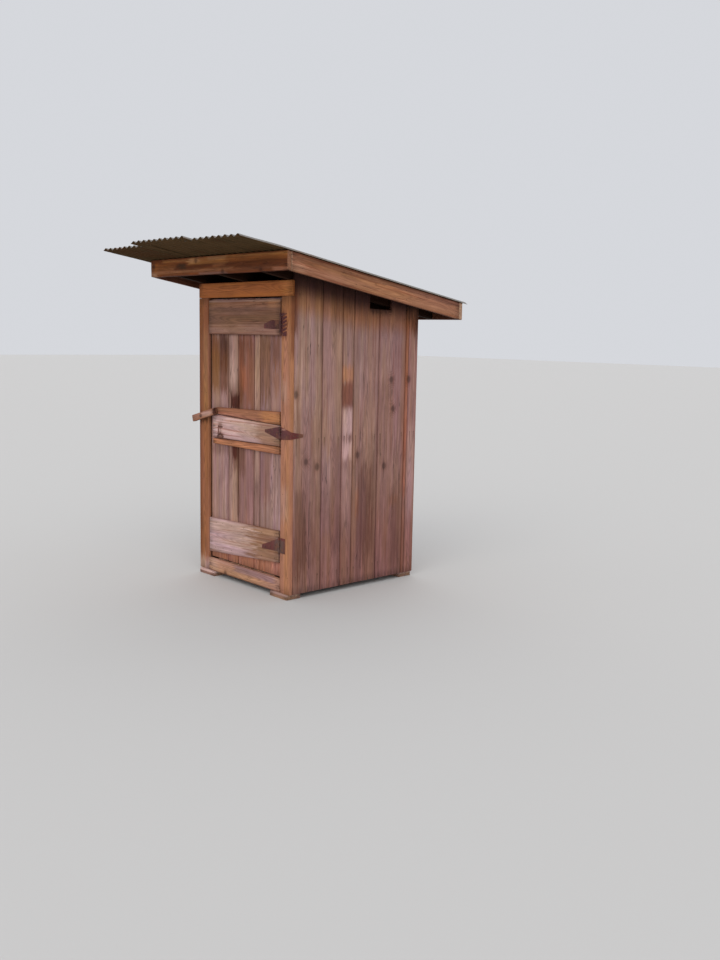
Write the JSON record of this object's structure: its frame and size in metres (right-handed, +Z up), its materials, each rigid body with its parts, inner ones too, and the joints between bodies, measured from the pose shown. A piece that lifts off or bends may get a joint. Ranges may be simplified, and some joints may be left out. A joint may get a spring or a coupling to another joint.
{
  "type": "wooden outhouse",
  "caption": "small shed of upright rough boards with a single-pitch corrugated roof, wide eaves, a battened door on strap hinges and a wooden turn button",
  "frame": {"origin": "on the ground under the middle of the four walls, in the underside of the middle foot block", "axes": "+X to the right seen from in front of the door, the door faces -Y, +Z up"},
  "size_m": [1.716, 2.062, 2.3878],
  "materials": {
    "weathered_wood": "weathered grey-brown, rough sawn",
    "bleached_wood": "sun-bleached, bare",
    "tan_wood": "bare tan pine, lightly weathered",
    "stained_wood": "brown-stained",
    "shaded_wood": "old, dark, bare",
    "sheet_metal": "dull galvanised sheet with stains",
    "rusty_iron": "dark rust"
  },
  "bodies": {
    "hut": {"foot_blocks": "weathered_wood", "runners": "shaded_wood", "joists": "shaded_wood", "floor_boards": "shaded_wood", "kick_board": "tan_wood", "front_left_post": "shaded_wood", "front_right_post": "shaded_wood", "rear_left_post": "shaded_wood", "rear_right_post": "shaded_wood", "left_girts": "shaded_wood", "right_girts": "shaded_wood", "rear_girt": "shaded_wood", "front_plate": "shaded_wood", "rear_plate": "shaded_wood", "door_stop": "tan_wood", "left_trim": "tan_wood", "right_trim": "tan_wood", "header_board": "tan_wood", "left_wall_boards": "weathered_wood", "right_wall_boards": "weathered_wood", "rear_wall_boards": "weathered_wood", "rafters": "shaded_wood", "purlins": "shaded_wood", "front_fascia": "stained_wood", "rear_fascia": "stained_wood", "left_barge_board": "stained_wood", "right_barge_board": "stained_wood", "left_roof_sheet": "sheet_metal", "middle_roof_sheet": "sheet_metal", "right_roof_sheet": "sheet_metal", "top_hinge_plate": "rusty_iron", "middle_hinge_plate": "rusty_iron", "bottom_hinge_plate": "rusty_iron", "button_bolt": "rusty_iron"},
    "door": {"door_boards": "weathered_wood", "top_batten": "weathered_wood", "upper_rail_strip": "tan_wood", "middle_rail": "bleached_wood", "lower_rail_strip": "tan_wood", "bottom_batten": "bleached_wood", "door_pull": "rusty_iron", "top_hinge_strap": "rusty_iron", "middle_hinge_strap": "rusty_iron", "bottom_hinge_strap": "rusty_iron"},
    "latch": {"turn_button": "weathered_wood"}
  },
  "joints": [
    {"name": "door_swing", "type": "hinge", "parent": "hut", "child": "door", "pos_m": [0.428, -0.592, 0], "axis": [0, 0, 1], "range_deg": [0, 165]},
    {"name": "button_turn", "type": "hinge", "parent": "hut", "child": "latch", "pos_m": [-0.4845, -0.6035, 1.185], "axis": [0, -1, 0], "range_deg": [0, 75.6]}
  ]
}
